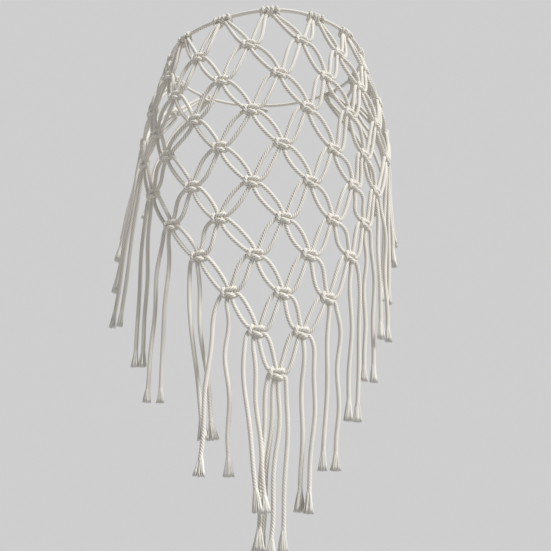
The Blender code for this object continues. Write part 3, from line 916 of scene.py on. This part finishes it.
def cotton_group():
    """Colour, roughness and height of twisted cotton: fine fibres that follow each ply, painted
    shade in the grooves between the plies, a little mottle and a soft nap."""
    tree = bpy.data.node_groups.new("twisted_cotton", "ShaderNodeTree")
    sockets = (
        ("Cotton", "INPUT", "NodeSocketColor"),
        # The colour and strength of the painted shade in the grooves.
        ("Groove", "INPUT", "NodeSocketColor"),
        ("Groove Strength", "INPUT", "NodeSocketFloat"),
        ("Fibre Contrast", "INPUT", "NodeSocketFloat"),
        ("Mottle", "INPUT", "NodeSocketFloat"),
        ("Colour", "OUTPUT", "NodeSocketColor"),
        ("Roughness", "OUTPUT", "NodeSocketFloat"),
        ("Height", "OUTPUT", "NodeSocketFloat"),
    )
    for name, way, kind in sockets:
        tree.interface.new_socket(name, in_out=way, socket_type=kind)
    given = add_node(tree, "NodeGroupInput")
    out = add_node(tree, "NodeGroupOutput")
    cord_space = add_node(tree, "ShaderNodeAttribute", attribute_name="cord_space")
    groove = add_node(tree, "ShaderNodeAttribute", attribute_name="groove")
    place = add_node(tree, "ShaderNodeTexCoord")

    along_ply = add_node(tree, "ShaderNodeMapping")
    along_ply.inputs["Scale"].default_value = (2600.0, 2600.0, 260.0)
    join(tree, cord_space.outputs["Vector"], along_ply.inputs["Vector"])
    fibre = add_node(tree, "ShaderNodeTexNoise", Scale=1.0, Detail=3.0, Roughness=0.6)
    join(tree, along_ply.outputs["Vector"], fibre.inputs["Vector"])
    nap = add_node(tree, "ShaderNodeTexNoise", Scale=2300.0, Detail=2.0, Roughness=0.7)
    join(tree, place.outputs["Object"], nap.inputs["Vector"])
    mottle = add_node(tree, "ShaderNodeTexNoise", Scale=38.0, Detail=3.0, Roughness=0.55)
    join(tree, place.outputs["Object"], mottle.inputs["Vector"])

    # Painted shade: the grooves darken towards the groove shade colour; each loose yarn takes its
    # random tone the same way.
    deep = add_node(tree, "ShaderNodeMath", operation="MULTIPLY")
    join(tree, groove.outputs["Fac"], deep.inputs[0])
    join(tree, given.outputs["Groove Strength"], deep.inputs[1])
    colour = add_node(tree, "ShaderNodeMix", data_type="RGBA")
    join(tree, deep.outputs["Value"], colour.inputs["Factor"])
    join(tree, given.outputs["Cotton"], colour.inputs[6])
    join(tree, given.outputs["Groove"], colour.inputs[7])

    def centred(source, amount):
        """A factor round 1 that follows a noise by this much."""
        shift = add_node(tree, "ShaderNodeMath", operation="SUBTRACT")
        shift.inputs[1].default_value = 0.5
        join(tree, source, shift.inputs[0])
        scaled = add_node(tree, "ShaderNodeMath", operation="MULTIPLY_ADD")
        scaled.inputs[2].default_value = 1.0
        join(tree, shift.outputs["Value"], scaled.inputs[0])
        join(tree, amount, scaled.inputs[1])
        return scaled.outputs["Value"]

    both = add_node(tree, "ShaderNodeMath", operation="MULTIPLY")
    join(tree, centred(fibre.outputs["Fac"], given.outputs["Fibre Contrast"]), both.inputs[0])
    join(tree, centred(mottle.outputs["Fac"], given.outputs["Mottle"]), both.inputs[1])
    tinted = add_node(tree, "ShaderNodeVectorMath", operation="SCALE")
    join(tree, colour.outputs[2], tinted.inputs["Vector"])
    join(tree, both.outputs["Value"], tinted.inputs["Scale"])
    join(tree, tinted.outputs["Vector"], out.inputs["Colour"])

    rough = add_node(tree, "ShaderNodeMapRange")
    rough.inputs["To Min"].default_value = 0.78
    rough.inputs["To Max"].default_value = 0.98
    join(tree, nap.outputs["Fac"], rough.inputs["Value"])
    join(tree, rough.outputs["Result"], out.inputs["Roughness"])
    height = add_node(tree, "ShaderNodeMath", operation="MULTIPLY_ADD")
    height.inputs[1].default_value = 0.5
    join(tree, nap.outputs["Fac"], height.inputs[0])
    join(tree, fibre.outputs["Fac"], height.inputs[2])
    join(tree, height.outputs["Value"], out.inputs["Height"])
    return tree


def cotton(group, finish):
    """The material of one cotton finish, made with the shared group."""
    made = bpy.data.materials.new(finish.name)
    made.use_nodes = True
    tree = made.node_tree
    surface = tree.nodes["Principled BSDF"]
    cord = add_node(tree, "ShaderNodeGroup", node_tree=group)
    cord.inputs["Cotton"].default_value = (*finish.light, 1.0)
    # The painted shade in the grooves between the plies.
    cord.inputs["Groove"].default_value = (*COTTON_GROOVE_SHADE, 1.0)
    cord.inputs["Groove Strength"].default_value = finish.groove_strength
    cord.inputs["Fibre Contrast"].default_value = finish.fibre_contrast
    cord.inputs["Mottle"].default_value = finish.mottle
    bump = add_node(tree, "ShaderNodeBump", Strength=0.55, Distance=0.00025)
    join(tree, cord.outputs["Colour"], surface.inputs["Base Color"])
    join(tree, cord.outputs["Roughness"], surface.inputs["Roughness"])
    join(tree, cord.outputs["Height"], bump.inputs["Height"])
    join(tree, bump.outputs["Normal"], surface.inputs["Normal"])
    surface.inputs["Specular IOR Level"].default_value = 0.18
    surface.inputs["Sheen Weight"].default_value = 0.30
    surface.inputs["Sheen Roughness"].default_value = 0.55
    return made


def add_camera():
    """The camera where the photograph was taken from."""
    azimuth = math.radians(CAMERA_AZIMUTH)
    data = bpy.data.cameras.new("camera")
    data.sensor_width = SENSOR
    data.lens = SENSOR * FOCAL_PIXELS / PHOTO_SIZE
    data.clip_start = 0.01
    camera = bpy.data.objects.new("camera", data)
    x, y = math.sin(azimuth), -math.cos(azimuth)
    camera.location = (CAMERA_DISTANCE * x, CAMERA_DISTANCE * y, CAMERA_HEIGHT)
    yaw = Matrix.Rotation(math.radians(CAMERA_YAW), 4, "Z")
    pitch = Matrix.Rotation(math.radians(90 + CAMERA_PITCH), 4, "X")
    roll = Matrix.Rotation(math.radians(CAMERA_ROLL), 4, "Z")
    camera.rotation_euler = (yaw @ pitch @ roll).to_euler()
    bpy.context.scene.collection.objects.link(camera)
    bpy.context.scene.camera = camera


def add_studio():
    """A pale seamless stage and soft light."""
    mesh = bpy.data.meshes.new("stage")
    turns = [2 * math.pi * n / FLOOR_CORNERS for n in range(FLOOR_CORNERS)]
    rim = [(FLOOR_RADIUS * math.cos(t), FLOOR_RADIUS * math.sin(t), FLOOR_HEIGHT) for t in turns]
    mesh.from_pydata(rim, [], [range(FLOOR_CORNERS)])
    stage = bpy.data.objects.new("stage", mesh)
    bpy.context.scene.collection.objects.link(stage)
    white = bpy.data.materials.new("stage_white")
    white.use_nodes = True
    surface = white.node_tree.nodes["Principled BSDF"]
    surface.inputs["Base Color"].default_value = (*STAGE_WHITE, 1.0)
    surface.inputs["Roughness"].default_value = 1.0
    surface.inputs["Specular IOR Level"].default_value = 0.0
    mesh.materials.append(white)

    data = bpy.data.lights.new("key", "SUN")
    data.energy = KEY_STRENGTH
    data.angle = math.radians(KEY_SOFTNESS)
    lamp = bpy.data.objects.new("key", data)
    lamp.rotation_euler = (-KEY_FROM).to_track_quat("-Z", "Y").to_euler()
    bpy.context.scene.collection.objects.link(lamp)
    world = bpy.data.worlds.new("studio")
    world.use_nodes = True
    air = world.node_tree.nodes["Background"]
    air.inputs["Color"].default_value = (1.0, 1.0, 1.0, 1.0)
    ray = add_node(world.node_tree, "ShaderNodeLightPath")
    tone = add_node(world.node_tree, "ShaderNodeMapRange")
    tone.inputs["To Min"].default_value = STUDIO_LIGHT
    tone.inputs["To Max"].default_value = STUDIO_TONE
    join(world.node_tree, ray.outputs["Is Camera Ray"], tone.inputs["Value"])
    join(world.node_tree, tone.outputs["Result"], air.inputs["Strength"])
    bpy.context.scene.world = world
    bpy.context.scene.view_settings.view_transform = "Standard"


def piece_name(node):
    """The name of the piece that stands for a node, and its material slot."""
    if node in PIECES:
        return PIECES[node]
    if node.startswith("head_"):
        return node.replace("head", "hitches"), "heads"
    return node.replace("fringe", "fringe_cords"), "fringe"


def main():
    """Lays every cord, builds the pieces and sets each on its node of the frame."""
    add_camera()
    add_studio()
    meshes = {}
    for number, index in enumerate(indices(0), 1):
        for side in ("left", "right"):
            route = folded_cord(number, index, side)
            lay_cord(meshes, route, FRAY_LENGTH, FRAY_WIDTH, FRAY_DEPTH)
    lay_cord(meshes, waist_route(), TAIL_FRAY_LENGTH, TAIL_FRAY_WIDTH, TAIL_FRAY_DEPTH)

    group = cotton_group()
    fibres = cotton(group, FRAYED)
    materials = {slot: cotton(group, finish) for slot, finish in FINISHES.items()}
    for node, mesh in meshes.items():
        name, slot = piece_name(node)
        piece = mesh.build(name, (materials[slot], fibres))
        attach(piece, "root")
        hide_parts(node)


main()
